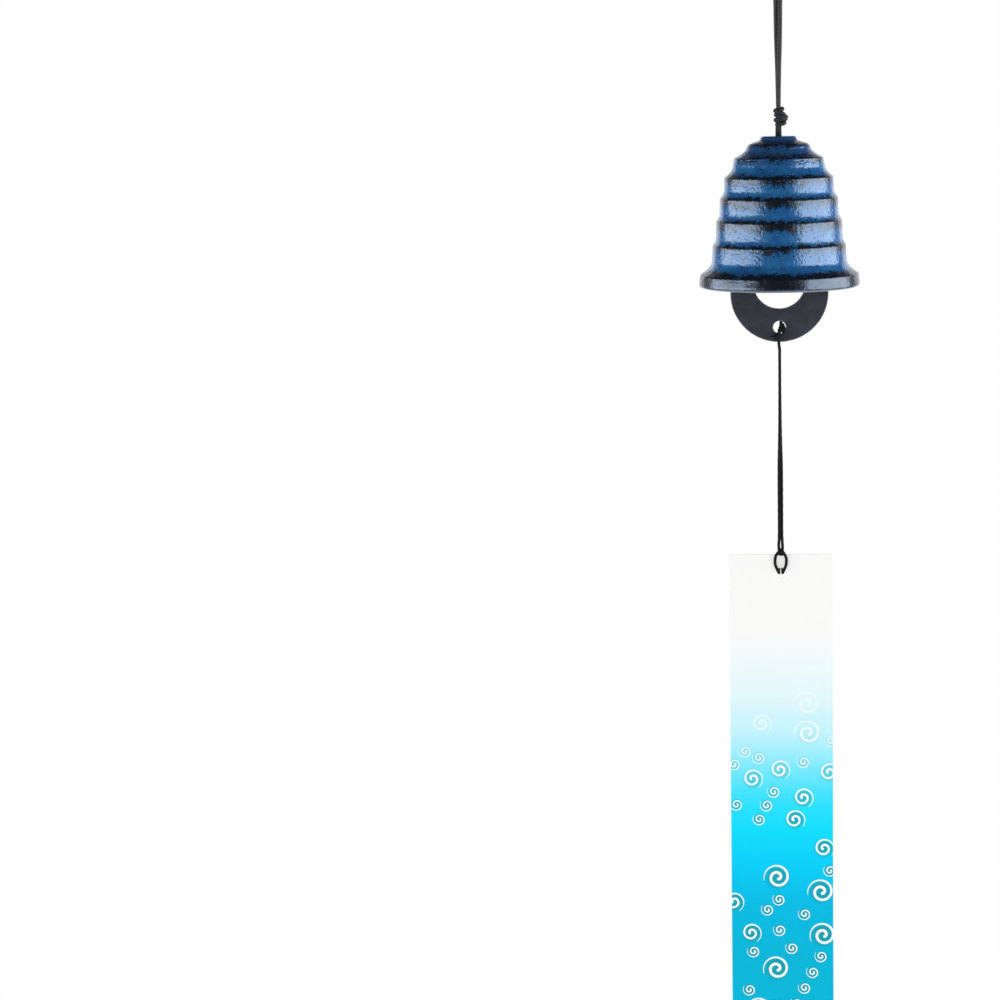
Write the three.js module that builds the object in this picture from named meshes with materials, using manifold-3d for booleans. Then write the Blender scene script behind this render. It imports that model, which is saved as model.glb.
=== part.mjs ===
// A small cast iron wind chime of the hanging kind: a stepped bell on a doubled braided cord,
// an iron ring plate inside it as the clapper, a thin doubled cord below and a paper strip
// that catches the wind. Millimetres, +Z up. The origin is the hanging point, the inner side
// of the cord's loop where a nail or hook bears. The clapper and the strip face -Y.

import * as THREE from 'three';
import { mergeVertices } from 'three/addons/utils/BufferGeometryUtils.js';
import Module from 'manifold-3d';

const wasm = await Module();
wasm.setup();

// Clearances
const SEAT_GAP = 0.3; // between a piece and what carries it
const ROCK_GAP = 0.4; // between the clapper's top bar and the cord tied round it

// Bell: each drop is measured down from the bell's top
const BELL_TOP = -67;
const BELL_HEIGHT = 56.3;
const CAP_RADIUS = 6.7;
const CAP_FOOT_RADIUS = 7.1;
const CAP_FOOT_DROP = 1.5;
const CAP_EDGE = 0.5;
const RIM_RADIUS = 30;
const RIM_SHOULDER_RADIUS = 29.6;
const RIM_SHOULDER_DROP = 51.2;
const RIM_EDGE = 1.7;
const MOUTH_RADIUS = 27;
const WALL = 3.2;
const CROWN = 4;
const CROWN_HOLE_RADIUS = 2.4;
const COVE_EASE = 1.5;
const COVE_POINTS = 4;
const BELL_SEGMENTS = 40;
// drop and radius of each tier's shoulder, how far the band under it widens, and the share
// of the tier's height that is band, the rest being a cove out to the next shoulder
const TIERS = [
  { drop: 2.9, radius: 11.4, widen: 0.4, band: 0.2 },
  { drop: 7.9, radius: 16.6, widen: 0.5, band: 0.35 },
  { drop: 15.1, radius: 20.3, widen: 0.2, band: 0.56 },
  { drop: 22.9, radius: 22.0, widen: 0.15, band: 0.6 },
  { drop: 31.4, radius: 23.4, widen: 0.25, band: 0.66 },
  { drop: 40.5, radius: 24.85, widen: 0.35, band: 0.52 },
];
const INNER_LAG = 0.45; // share of a tier's height by which the inner wall follows the outer

// Clapper: a ring plate with its big hole above its middle and a small hole for the tail
const PLATE_RADIUS = 18.3;
const PLATE_DROP = 58.5; // of its centre below the bell's top
const PLATE_THICKNESS = 2.3;
const PLATE_EDGE = 0.35;
const PLATE_HOLE_RADIUS = 9.6;
const PLATE_HOLE_RISE = 3.8;
const TAIL_HOLE_RADIUS = 2.4;
const TAIL_HOLE_FALL = 12.8;
const PLATE_SEGMENTS = 24;

// Cords
const BRAID_DIAMETER = 1.7;
const NECK_STRAND_DIAMETER = 1.5;
const NECK_STRAND_SPACING = 1.1;
const NECK_TURNS = 0.75;
const NECK_LEAD = 0.8; // straight end of each twisted strand
const TAIL_DIAMETER = 1.2;
const SIDES = 8;
const STRAND_OVERLAP = 0.2; // two strands that lie pressed together share this much

// Hanger knot: lobes as offsets from the pivot at its top, with their radii
const KNOT_PIVOT = -58;
const KNOT_LOBES = [
  { at: [-0.35, -0.4, 0.1], radius: 1.35 },
  { at: [0.9, 0.5, -0.3], radius: 1.4 },
  { at: [1.85, -0.2, -2.1], radius: 1.75 },
  { at: [-0.5, 0.4, -2.5], radius: 1.15 },
  { at: [1.95, -0.3, -4.1], radius: 0.8 },
  { at: [0.4, 0, -3.0], radius: 1.6 },
  { at: [0.3, 1.0, -1.2], radius: 1.4 },
  { at: [0.2, -1.0, -1.6], radius: 1.4 },
];
const NECK_TOP = -63.2;

// Stop knot under the crown: an upper wrap that the bell seats on, a core and a lower wrap
const STOP_WRAP_RADIUS = 1.9;
const STOP_WRAP_TUBE = 1.15;
const STOP_WRAP_RISE = 1.45;
const STOP_CORE_RADIUS = 2.4;
const STOP_LOW_WRAP_RADIUS = 1.6;
const STOP_LOW_WRAP_TUBE = 1.1;
const STOP_LOW_WRAP_FALL = 0.9;

// Tie round the clapper's top bar
const TIE_KNOT_RADIUS = 2.1;
const TIE_HALF_WIDTH = 2.95; // cord's middle line, in front of and behind the plate's middle

// Tail knot in the clapper's small hole
const TAIL_KNOT_RADIUS = 1.6;
const TAIL_KNOT_AT = [0.3, 0, -0.2];

// Paper strip
const STRIP_TOP = -224.7;
const STRIP_WIDTH = 39;
const STRIP_LENGTH = 180;
const STRIP_THICKNESS = 0.4;
const STRIP_HOLE_RADIUS = 1.9;
const STRIP_HOLE_DROP = 7.1;
const STRIP_SEGMENTS = 8;
const HITCH_KNOT_RADIUS = 1.15;

// Heights that follow from the sizes above
const plateCentre = BELL_TOP - PLATE_DROP;
const plateTop = plateCentre + PLATE_RADIUS;
const plateBar = PLATE_RADIUS - PLATE_HOLE_RADIUS - PLATE_HOLE_RISE;
const barCentre = plateTop - plateBar / 2;
const tailHole = plateCentre - TAIL_HOLE_FALL;
const wrapReach = STOP_WRAP_TUBE + SEAT_GAP;
const wrapFall = Math.sqrt(wrapReach ** 2 - (CROWN_HOLE_RADIUS - STOP_WRAP_RADIUS) ** 2);
const stopCentre = BELL_TOP - CROWN - wrapFall - STOP_WRAP_RISE;
const stopTop = stopCentre + STOP_WRAP_RISE + STOP_WRAP_TUBE;
const clapperCordTop = stopCentre - STOP_CORE_RADIUS - SEAT_GAP;
const tieKnotCentre = plateTop + ROCK_GAP + TIE_KNOT_RADIUS;
const clapperCordBottom = tieKnotCentre + TIE_KNOT_RADIUS + SEAT_GAP;
const tieLoopBottom = plateTop - plateBar - ROCK_GAP - BRAID_DIAMETER / 2;
const hitchKnot = STRIP_TOP + HITCH_KNOT_RADIUS + SEAT_GAP;
const stripHole = STRIP_TOP - STRIP_HOLE_DROP;
const stripFaceGap = STRIP_THICKNESS / 2 + SEAT_GAP + TAIL_DIAMETER / 2;
const plateFaceGap = PLATE_THICKNESS / 2 + SEAT_GAP + TAIL_DIAMETER / 2;

// Cord routes, as points chosen by hand along each cord's middle line
// The hanging loop: up one side, round the open bight at the hook, and down the other side,
// side by side above and one behind the other just over the knot
const HANGER_SIDE = [
  [0, 0.88, -56.15],
  [-0.12, 0.87, -52],
  [-0.35, 0.8, -47],
  [-0.7, 0.55, -42],
  [-0.88, 0.2, -36],
  [-0.9, 0, -28],
  [-0.92, 0, -20.5],
  [-1.1, 0, -15.5],
  [-1.65, 0, -11.5],
  [-2.45, 0, -8],
  [-3.15, 0, -5.2],
  [-3.45, 0, -2.6],
  [-2.44, 0, -0.16],
];
const HANGER_TOP = [0, 0, 0.85];
// The tail: one strand behind the other below the clapper, then side by side
const TAIL_STRAND = [
  [0, -0.5, -148.6],
  [0, -0.5, -156],
  [-0.05, -0.5, -166],
  [-0.15, -0.48, -176],
  [-0.35, -0.38, -184],
  [-0.6, -0.2, -190],
  [-0.78, -0.05, -195.5],
  [-0.85, 0, -202.5],
  [-0.85, 0, -209.5],
  [-0.8, 0, -215],
  [-0.68, 0, -219.4],
  [-0.62, 0, -221.8],
];

const bellPaint = new THREE.MeshStandardMaterial({ color: 0x1f5f9c, roughness: 0.38, metalness: 0.1 });
const darkIron = new THREE.MeshStandardMaterial({ color: 0x323539, roughness: 0.7, metalness: 0.3 });
const braid = new THREE.MeshStandardMaterial({ color: 0x23242f, roughness: 0.85, metalness: 0 });
const waxedCord = new THREE.MeshStandardMaterial({ color: 0x26282b, roughness: 0.7, metalness: 0 });
const paper = new THREE.MeshStandardMaterial({ color: 0x9fdff2, roughness: 0.8, metalness: 0 });

const chime = new THREE.Group();

/** Adds one named piece to the chime. */
function addPiece(name, geometry, material) {
  const mesh = new THREE.Mesh(geometry, material);
  mesh.name = name;
  chime.add(mesh);
  return mesh;
}

/** A closed three.js geometry as a solid that can be joined and cut. */
function toSolid(geometry) {
  const bare = geometry.clone();
  bare.deleteAttribute('normal');
  bare.deleteAttribute('uv');
  const merged = mergeVertices(bare, 1e-4);
  return new wasm.Manifold(new wasm.Mesh({
    numProp: 3,
    vertProperties: new Float32Array(merged.attributes.position.array),
    triVerts: new Uint32Array(merged.index.array),
  }));
}

/** The solid's triangles as a three.js geometry. */
function toGeometry(solid) {
  const mesh = solid.getMesh();
  const geometry = new THREE.BufferGeometry();
  geometry.setAttribute('position', new THREE.BufferAttribute(mesh.vertProperties, 3));
  geometry.setIndex(new THREE.BufferAttribute(mesh.triVerts, 1));
  geometry.computeVertexNormals();
  return geometry;
}

/** Several closed geometries joined into one. */
function join(geometries) {
  const solids = geometries.map(toSolid);
  return toGeometry(solids.reduce((sum, next) => sum.add(next)));
}

/** A cord of the given diameter along a smooth curve through the points. */
function cord(points, diameter, steps) {
  const path = new THREE.CatmullRomCurve3(
    points.map((point) => new THREE.Vector3(...point)),
    false,
    'centripetal',
  );
  const section = [];
  for (let side = 0; side < SIDES; side += 1) {
    const angle = ((side + 0.5) / SIDES) * 2 * Math.PI;
    section.push(new THREE.Vector2(Math.cos(angle), Math.sin(angle)).multiplyScalar(diameter / 2));
  }
  return new THREE.ExtrudeGeometry(new THREE.Shape(section), { extrudePath: path, steps });
}

/** A ball as one lobe of a knot. */
function lobe([x, y, z], radius) {
  return new THREE.SphereGeometry(radius, 12, 8).translate(x, y, z);
}

/** A ring of cord lying level at a height. */
function wrap(radius, tube, z) {
  return new THREE.TorusGeometry(radius, tube, 8, 18).translate(0, 0, z);
}

/** The points mirrored to the other side, in reverse order. */
function mirrored(points, [sx, sy]) {
  return points.map(([x, y, z]) => [x * sx, y * sy, z]).reverse();
}

/** The bell's outer radius and drop along one tier: a band, then a cove to the next shoulder. */
function tierPoints(tier, next) {
  const bandEnd = tier.drop + (next.drop - tier.drop) * tier.band;
  const bandRadius = tier.radius + tier.widen;
  const points = [[tier.radius, tier.drop + 0.4], [bandRadius, bandEnd]];
  for (let step = 1; step <= COVE_POINTS; step += 1) {
    const share = step / COVE_POINTS;
    const radius = bandRadius + (next.radius - bandRadius) * share ** COVE_EASE;
    points.push([radius - (step === COVE_POINTS ? 0.35 : 0), bandEnd + (next.drop - bandEnd) * share]);
  }
  return points;
}

/** The bell's whole closed profile as radius and drop, from the hole outwards and back inside. */
function bellProfile() {
  const rim = { drop: RIM_SHOULDER_DROP, radius: RIM_SHOULDER_RADIUS };
  const profile = [
    [CROWN_HOLE_RADIUS, 0],
    [CAP_RADIUS - CAP_EDGE, 0],
    [CAP_RADIUS, CAP_EDGE],
    [CAP_FOOT_RADIUS, CAP_FOOT_DROP],
    [TIERS[0].radius - CAP_EDGE, TIERS[0].drop - 0.1],
  ];
  TIERS.forEach((tier, index) => {
    profile.push(...tierPoints(tier, TIERS[index + 1] ?? rim));
  });
  profile.push([RIM_RADIUS, (RIM_SHOULDER_DROP + BELL_HEIGHT - RIM_EDGE) / 2 + 0.3]);
  for (const turn of [0, 0.5, 1]) {
    const angle = (turn * Math.PI) / 2;
    const drop = BELL_HEIGHT - RIM_EDGE * (1 - Math.sin(angle));
    profile.push([RIM_RADIUS - RIM_EDGE * (1 - Math.cos(angle)), drop]);
  }
  profile.push([MOUTH_RADIUS, BELL_HEIGHT]);
  const inner = TIERS.slice(1).map((tier, index) => {
    const next = TIERS[index + 2] ?? rim;
    return [tier.radius - WALL, tier.drop + (next.drop - tier.drop) * INNER_LAG];
  });
  profile.push(...inner.reverse(), [TIERS[0].radius - WALL, CROWN], [CROWN_HOLE_RADIUS, CROWN]);
  profile.push(profile[0]);
  return profile;
}

/** The bell, turned about its own axis, with its top at the origin of its mesh and the
 * middle of a facet at the front, back and sides. */
function bellGeometry() {
  const outline = bellProfile().map(([radius, drop]) => new THREE.Vector2(radius, -drop));
  const turned = new THREE.LatheGeometry(outline.reverse(), BELL_SEGMENTS, Math.PI / BELL_SEGMENTS);
  return toGeometry(toSolid(turned.rotateX(Math.PI / 2)));
}

/** A flat plate standing in the XZ plane, centred on its thickness. */
function plate(outline, thickness, edge, curveSegments) {
  const geometry = new THREE.ExtrudeGeometry(outline, {
    depth: thickness - 2 * edge,
    bevelEnabled: edge > 0,
    bevelThickness: edge,
    bevelSize: edge,
    bevelOffset: -edge,
    bevelSegments: 1,
    curveSegments,
  });
  geometry.translate(0, 0, edge - thickness / 2);
  return toGeometry(toSolid(geometry.rotateX(Math.PI / 2)));
}

/** A round hole for a plate's outline. */
function hole(x, y, radius) {
  return new THREE.Path().absarc(x, y, radius, 0, 2 * Math.PI, true);
}

/** The clapper's ring plate about its own centre. */
function clapperGeometry() {
  const outline = new THREE.Shape().absarc(0, 0, PLATE_RADIUS, 0, 2 * Math.PI, false);
  outline.holes.push(hole(0, PLATE_HOLE_RISE, PLATE_HOLE_RADIUS));
  outline.holes.push(hole(0, -TAIL_HOLE_FALL, TAIL_HOLE_RADIUS));
  return plate(outline, PLATE_THICKNESS, PLATE_EDGE, PLATE_SEGMENTS);
}

/** The paper strip with its top edge at the origin of its mesh. */
function stripGeometry() {
  const half = STRIP_WIDTH / 2;
  const outline = new THREE.Shape([
    new THREE.Vector2(-half, -STRIP_LENGTH),
    new THREE.Vector2(half, -STRIP_LENGTH),
    new THREE.Vector2(half, 0),
    new THREE.Vector2(-half, 0),
  ]);
  outline.holes.push(hole(0, -STRIP_HOLE_DROP, STRIP_HOLE_RADIUS));
  return plate(outline, STRIP_THICKNESS, 0, STRIP_SEGMENTS);
}

/** The hanging loop as one cord with both of its ends at the knot. */
function hangerLoop() {
  const route = [...HANGER_SIDE, HANGER_TOP, ...mirrored(HANGER_SIDE, [-1, -1])];
  return toGeometry(toSolid(cord(route, BRAID_DIAMETER, 50)));
}

/** The knot of the doubled cord above the bell. */
function hangerKnot() {
  return join(KNOT_LOBES.map(({ at: [x, y, z], radius }) => lobe([x, y, KNOT_PIVOT + z], radius)));
}

/** The two strands that go down twisted through the crown, from the knot to the stop knot. */
function hangerNeck() {
  const foot = stopTop + SEAT_GAP;
  const reach = NECK_STRAND_SPACING / 2;
  const steps = 10;
  const strands = [0, Math.PI].map((start) => {
    const at = (z, share) => {
      const angle = start + share * NECK_TURNS * 2 * Math.PI;
      return [reach * Math.cos(angle), reach * Math.sin(angle), z];
    };
    const points = [at(NECK_TOP, 0)];
    for (let step = 0; step <= steps; step += 1) {
      const share = step / steps;
      points.push(at(THREE.MathUtils.lerp(NECK_TOP - NECK_LEAD, foot + NECK_LEAD, share), share));
    }
    points.push(at(foot, 1));
    return cord(points, NECK_STRAND_DIAMETER, 16);
  });
  return join(strands);
}

/** The knot under the crown that the bell hangs on. */
function stopKnot() {
  return join([
    wrap(STOP_WRAP_RADIUS, STOP_WRAP_TUBE, stopCentre + STOP_WRAP_RISE),
    lobe([0, 0, stopCentre], STOP_CORE_RADIUS),
    wrap(STOP_LOW_WRAP_RADIUS, STOP_LOW_WRAP_TUBE, stopCentre - STOP_LOW_WRAP_FALL),
  ]);
}

/** The doubled cord inside the bell, one strand in front of the other. */
function clapperCord() {
  const offset = (BRAID_DIAMETER - STRAND_OVERLAP) / 2;
  const strands = [-offset, offset].map((y) => cord(
    [[0, y, clapperCordTop], [0, y, clapperCordBottom]],
    BRAID_DIAMETER,
    6,
  ));
  return join(strands);
}

/** The knot and the cord's turn round the clapper's top bar, through its big hole. */
function clapperTie() {
  const side = [
    [0, -0.6, tieKnotCentre],
    [0, -2.2, plateTop + 1],
    [0, -TIE_HALF_WIDTH, barCentre + 1],
    [0, -TIE_HALF_WIDTH, barCentre - 0.6],
    [0, -2.3, tieLoopBottom + 0.8],
  ];
  const route = [...side, [0, 0, tieLoopBottom], ...mirrored(side, [1, -1])];
  return join([
    cord(route, BRAID_DIAMETER, 26),
    lobe([0, 0, tieKnotCentre], TIE_KNOT_RADIUS),
  ]);
}

/** The tail's knot in the clapper's small hole, with a strand down each face of the plate. */
function tailHitch() {
  const front = [
    [0.2, -0.5, tailHole],
    [0.1, -1.6, tailHole - 0.6],
    [-0.1, -plateFaceGap, tailHole - 2.4],
    [-0.2, -plateFaceGap, tailHole - 5],
    [-0.1, -1.85, tailHole - 6.8],
    [0, -1.1, tailHole - 8.4],
    [0, -0.5, tailHole - 9.4],
    [0, -0.5, TAIL_STRAND[0][2] + SEAT_GAP],
  ];
  const back = front.map(([x, y, z]) => [x, -y, z]);
  const [x, y, z] = TAIL_KNOT_AT;
  return join([
    lobe([x, y, tailHole + z], TAIL_KNOT_RADIUS),
    cord(front, TAIL_DIAMETER, 16),
    cord(back, TAIL_DIAMETER, 16),
  ]);
}

/** The tail's two strands, pressed together above and lying side by side lower down. */
function tailCord() {
  const other = TAIL_STRAND.map(([x, y, z]) => [-x, -y, z]);
  return join([cord(TAIL_STRAND, TAIL_DIAMETER, 26), cord(other, TAIL_DIAMETER, 26)]);
}

/** The cow hitch that holds the strip: down behind it, through its hole, and up in front. */
function stripHitch() {
  const side = [
    [-0.6, 0.3, hitchKnot + 0.1],
    [-0.64, stripFaceGap, STRIP_TOP - 0.6],
    [-0.66, stripFaceGap, stripHole + 2.2],
    [-0.68, 0.75, stripHole + 0.3],
    [-0.68, 0, stripHole - 0.1],
    [-0.8, -0.8, stripHole + 0.3],
    [-1.35, -stripFaceGap, stripHole + 1.4],
    [-2.05, -stripFaceGap, stripHole + 3.6],
    [-2.0, -stripFaceGap, stripHole + 6],
    [-1.15, -stripFaceGap, stripHole + 7.9],
  ];
  const route = [...side, [0, -stripFaceGap, hitchKnot - 0.1], ...mirrored(side, [-1, 1])];
  return join([
    cord(route, TAIL_DIAMETER, 50),
    lobe([0, 0, hitchKnot], HITCH_KNOT_RADIUS),
  ]);
}

addPiece('hanger_loop', hangerLoop(), braid);
addPiece('hanger_knot', hangerKnot(), braid);
addPiece('hanger_neck', hangerNeck(), braid);
addPiece('stop_knot', stopKnot(), braid);
addPiece('bell', bellGeometry(), bellPaint).position.z = BELL_TOP;
addPiece('clapper_cord', clapperCord(), braid);
addPiece('clapper_tie', clapperTie(), braid);
addPiece('clapper', clapperGeometry(), darkIron).position.z = plateCentre;
addPiece('tail_hitch', tailHitch(), waxedCord);
addPiece('tail_cord', tailCord(), waxedCord);
addPiece('strip_hitch', stripHitch(), waxedCord);
addPiece('paper_strip', stripGeometry(), paper).position.z = STRIP_TOP;

export default chime;
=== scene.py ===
"""Looks of a small cast iron wind chime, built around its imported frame.

A stepped bell hangs on a doubled braided cord. A ring plate inside it is the clapper, and a thin
doubled cord below carries a paper strip. Shapes are drawn in millimetres and turned into metres
when they become objects. +Z is up and -Y faces the viewer.
"""

import logging
import math
import random
from abc import ABC, abstractmethod
from collections.abc import Callable, Iterable
from dataclasses import dataclass, replace
from enum import Enum
from functools import partial

import bmesh
import bpy
from mathutils import Matrix, Vector, noise
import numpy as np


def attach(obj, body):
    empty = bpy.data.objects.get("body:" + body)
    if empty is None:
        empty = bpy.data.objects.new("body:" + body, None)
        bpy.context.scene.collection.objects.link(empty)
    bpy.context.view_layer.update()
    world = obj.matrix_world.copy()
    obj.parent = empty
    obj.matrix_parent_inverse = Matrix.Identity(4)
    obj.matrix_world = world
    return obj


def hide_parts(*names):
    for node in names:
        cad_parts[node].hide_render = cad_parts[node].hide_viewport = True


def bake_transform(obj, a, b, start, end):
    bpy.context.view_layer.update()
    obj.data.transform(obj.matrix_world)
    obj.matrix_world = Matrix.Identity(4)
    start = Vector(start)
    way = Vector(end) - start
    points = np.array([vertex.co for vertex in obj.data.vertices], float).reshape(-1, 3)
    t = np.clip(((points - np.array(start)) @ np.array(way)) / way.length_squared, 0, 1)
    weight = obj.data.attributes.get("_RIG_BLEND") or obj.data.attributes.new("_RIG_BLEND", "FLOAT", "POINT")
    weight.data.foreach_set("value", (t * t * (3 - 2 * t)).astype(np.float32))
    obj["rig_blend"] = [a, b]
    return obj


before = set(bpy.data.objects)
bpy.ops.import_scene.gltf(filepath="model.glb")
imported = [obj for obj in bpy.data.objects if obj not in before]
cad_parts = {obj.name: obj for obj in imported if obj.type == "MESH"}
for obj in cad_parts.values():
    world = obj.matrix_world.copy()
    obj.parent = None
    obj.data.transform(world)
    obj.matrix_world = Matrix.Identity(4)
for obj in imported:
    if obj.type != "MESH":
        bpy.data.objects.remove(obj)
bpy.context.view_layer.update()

log = logging.getLogger("wind_chime")

# Short names of types
Point = tuple[float, float, float]
Route = tuple[Point, ...]
Span = tuple[float, float]
Shape = bmesh.types.BMesh
Material = bpy.types.Material
Object = bpy.types.Object
Socket = bpy.types.NodeSocket
Adder = Callable[..., Socket]

MM = 0.001
FULL_TURN = 2 * math.pi

# Farther in millimetres than anything that is compared with it
FAR = 9.0

# Heights in millimetres of the bell's top and of the strip's top edge
BELL_TOP = -67.0
STRIP_TOP = -224.7

# A Map Range takes its value, the range that it comes from and the range that it goes to,
# and a Mix takes two colours as inputs 6 and 7. These are their settings.
SMOOTH = {"interpolation_type": "SMOOTHSTEP"}
COLOURS = {"data_type": "RGBA", "out": 2}

# Where most and nearly all of a noise's values lie
MOST_NOISE = (0.3, 0.7)
ALL_NOISE = (0.2, 0.8)


class CordLay(Enum):
    """How the yarns of a cord lie."""

    BRAIDED = "braided"
    TWISTED = "twisted"


class Slot(Enum):
    """The material slots."""

    PAINTED_IRON = "painted_cast_iron"
    DARK_IRON = "dark_iron"
    BRAID = "braided_cord"
    THIN_CORD = "thin_cord"
    PAPER = "printed_paper"


def linear(code: str) -> tuple[float, float, float, float]:
    """Turn an sRGB hex colour into the linear values that a shader takes.

    Args:
        code: The colour as six hex digits.

    Returns:
        Red, green, blue and an alpha of 1.
    """
    values = [int(code[start:start + 2], 16) / 255 for start in (0, 2, 4)]
    bent = [v / 12.92 if v <= 0.04045 else ((v + 0.055) / 1.055) ** 2.4 for v in values]
    return (bent[0], bent[1], bent[2], 1.0)


def smoothstep(value: float) -> float:
    """Ease a value from 0 to 1."""
    held = min(1.0, max(0.0, value))
    return held * held * (3 - 2 * held)


def add_node(
    tree: bpy.types.NodeTree,
    kind: str,
    *values: object,
    at: dict | None = None,
    out: int | str = 0,
    **settings: object,
) -> Socket | None:
    """Add one shader node with its settings, values and links.

    Args:
        tree: The node tree that takes it.
        kind: The node's type without its ShaderNode prefix.
        values: Sockets or plain values for its first inputs, in order.
        at: More of them, by the input's name or number.
        out: The name or number of the output that is wanted.
        settings: Properties set on the node.

    Returns:
        That output of the new node, or None where the node has no output.
    """
    node = tree.nodes.new("ShaderNode" + kind)
    for name, value in settings.items():
        setattr(node, name, value)
    for key, value in (dict(enumerate(values)) | (at or {})).items():
        if isinstance(value, Socket):
            tree.links.new(value, node.inputs[key])
        else:
            node.inputs[key].default_value = value
    return node.outputs[out] if node.outputs else None


def adder(owner: Material | bpy.types.World) -> Adder:
    """Clear the nodes of a material or world, and return add_node for its tree."""
    owner.use_nodes = True
    owner.node_tree.nodes.clear()
    return partial(add_node, owner.node_tree)


def add_object(name: str, data: bpy.types.ID) -> Object:
    """Put a new object in the scene."""
    made = bpy.data.objects.new(name, data)
    bpy.context.scene.collection.objects.link(made)
    return made


def to_object(shape: Shape, name: str, material: Material) -> Object:
    """Turn a shape into an object at the origin, and free the shape."""
    mesh = bpy.data.meshes.new(name)
    shape.to_mesh(mesh)
    shape.free()
    mesh.materials.append(material)
    return add_object(name, mesh)


def make_piece(
    shape: Shape,
    name: str,
    material: Material,
    node: str,
    body: str | None = None,
    sharp: float = 50.0,
) -> Object:
    """Turn a shape drawn in millimetres into a piece in metres that stands for a CAD node.

    Args:
        shape: The finished shape, which is freed.
        name: The piece's name.
        material: Its material.
        node: The CAD node that it replaces.
        body: The body that it rides on, or None for a piece that is blended between two.
        sharp: Edges over this angle in degrees stay crisp.

    Returns:
        The new piece.
    """
    bmesh.ops.scale(shape, vec=(MM, MM, MM), verts=shape.verts[:])
    piece = to_object(shape, name, material)
    piece.data.shade_smooth()
    piece.data.set_sharp_from_angle(angle=math.radians(sharp))
    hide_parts(node)
    if body:
        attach(piece, body)
    log.info("%s: %d faces", name, len(piece.data.polygons))
    return piece


def thicken(shape: Shape, thickness: float) -> None:
    """Raise a flat shape to its thickness."""
    made = bmesh.ops.extrude_face_region(shape, geom=shape.faces[:])["geom"]
    raised = [item for item in made if isinstance(item, bmesh.types.BMVert)]
    bmesh.ops.translate(shape, vec=(0, 0, thickness), verts=raised)


def stand_up(shape: Shape, shift: Point, height: float) -> None:
    """Turn a shape that lies flat upright, so that it faces the viewer.

    Args:
        shape: The shape.
        shift: How it is moved before it is turned.
        height: How high it is lifted afterwards.
    """
    bmesh.ops.translate(shape, vec=shift, verts=shape.verts[:])
    upright = Matrix.Rotation(math.pi / 2, 3, "X")
    bmesh.ops.rotate(shape, cent=(0, 0, 0), matrix=upright, verts=shape.verts[:])
    bmesh.ops.translate(shape, vec=(0, 0, height), verts=shape.verts[:])
    bmesh.ops.recalc_face_normals(shape, faces=shape.faces[:])


# Cords


def flipped(points: Iterable[Point], sign_x: int, sign_y: int) -> Route:
    """Mirror a route's points to the other side."""
    return tuple((x * sign_x, y * sign_y, z) for x, y, z in points)


def catmull_rom(points: Iterable[Point], per_span: int = 24) -> list[Vector]:
    """Sample a centripetal Catmull-Rom curve through the points.

    Args:
        points: The route's points.
        per_span: Samples between each point and the next.

    Returns:
        Points along the curve, both ends with them.
    """
    known = [Vector(point) for point in points]
    held = [2 * known[0] - known[1], *known, 2 * known[-1] - known[-2]]
    samples = []
    for index in range(len(known) - 1):
        a, b, c, d = held[index:index + 4]
        knots = [0.0]
        for start, end in ((a, b), (b, c), (c, d)):
            knots.append(knots[-1] + max(1e-6, (end - start).length) ** 0.5)
        t0, t1, t2, t3 = knots
        for step in range(per_span):
            t = t1 + (t2 - t1) * step / per_span
            ab = a.lerp(b, (t - t0) / (t1 - t0))
            bc = b.lerp(c, (t - t1) / (t2 - t1))
            cd = c.lerp(d, (t - t2) / (t3 - t2))
            abc = ab.lerp(bc, (t - t0) / (t2 - t0))
            bcd = bc.lerp(cd, (t - t1) / (t3 - t1))
            samples.append(abc.lerp(bcd, (t - t1) / (t2 - t1)))
    samples.append(known[-1])
    return samples


def evenly(samples: list[Vector], spacing: float) -> list[Vector]:
    """Space samples of a curve evenly.

    Args:
        samples: Close points along the curve.
        spacing: The wanted distance between the points, which is rounded to fit.

    Returns:
        Evenly spaced points, both ends with them.
    """
    reach = [0.0]
    for start, end in zip(samples, samples[1:]):
        reach.append(reach[-1] + (end - start).length)
    count = max(2, round(reach[-1] / spacing))
    spaced = []
    index = 0
    for step in range(count + 1):
        target = reach[-1] * step / count
        while index < len(samples) - 2 and reach[index + 1] < target:
            index += 1
        share = (target - reach[index]) / max(1e-9, reach[index + 1] - reach[index])
        spaced.append(samples[index].lerp(samples[index + 1], min(1.0, share)))
    return spaced


def route_length(path: list[Vector]) -> float:
    """Add up the length of a path."""
    return sum((end - start).length for start, end in zip(path, path[1:]))


def frames_along(path: list[Vector]) -> list[tuple[Vector, Vector]]:
    """Carry two cross directions along a path without twist.

    Args:
        path: Evenly spaced points.

    Returns:
        Two unit vectors square to the path at each point.
    """
    tangents = []
    for index in range(len(path)):
        before = path[max(0, index - 1)]
        after = path[min(len(path) - 1, index + 1)]
        tangents.append((after - before).normalized())
    first = Vector((1, 0, 0)) if abs(tangents[0].x) < 0.8 else Vector((0, 1, 0))
    side = (first - tangents[0] * first.dot(tangents[0])).normalized()
    frames = [(side, tangents[0].cross(side))]
    for before, after in zip(tangents, tangents[1:]):
        side = before.rotation_difference(after) @ side
        side = (side - after * side.dot(after)).normalized()
        frames.append((side, after.cross(side)))
    return frames


@dataclass(frozen=True)
class Turn:
    """One turn of cord in a knot: a ring with its middle, its radius and its tilt in degrees."""

    centre: Point
    radius: float
    lean: float = 0.0
    roll: float = 0.0
    fewest: int = 16

    def path(self, step: float) -> list[Vector]:
        """Space points round the turn, the first of them repeated at the end."""
        count = max(self.fewest, round(FULL_TURN * self.radius / step))
        turned = Matrix.Rotation(math.radians(self.lean), 3, "Y")
        turned @= Matrix.Rotation(math.radians(self.roll), 3, "X")
        points = []
        for index in range(count + 1):
            angle = FULL_TURN * index / count
            flat = Vector((math.cos(angle), math.sin(angle), 0)) * self.radius
            points.append(Vector(self.centre) + turned @ flat)
        return points


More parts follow.
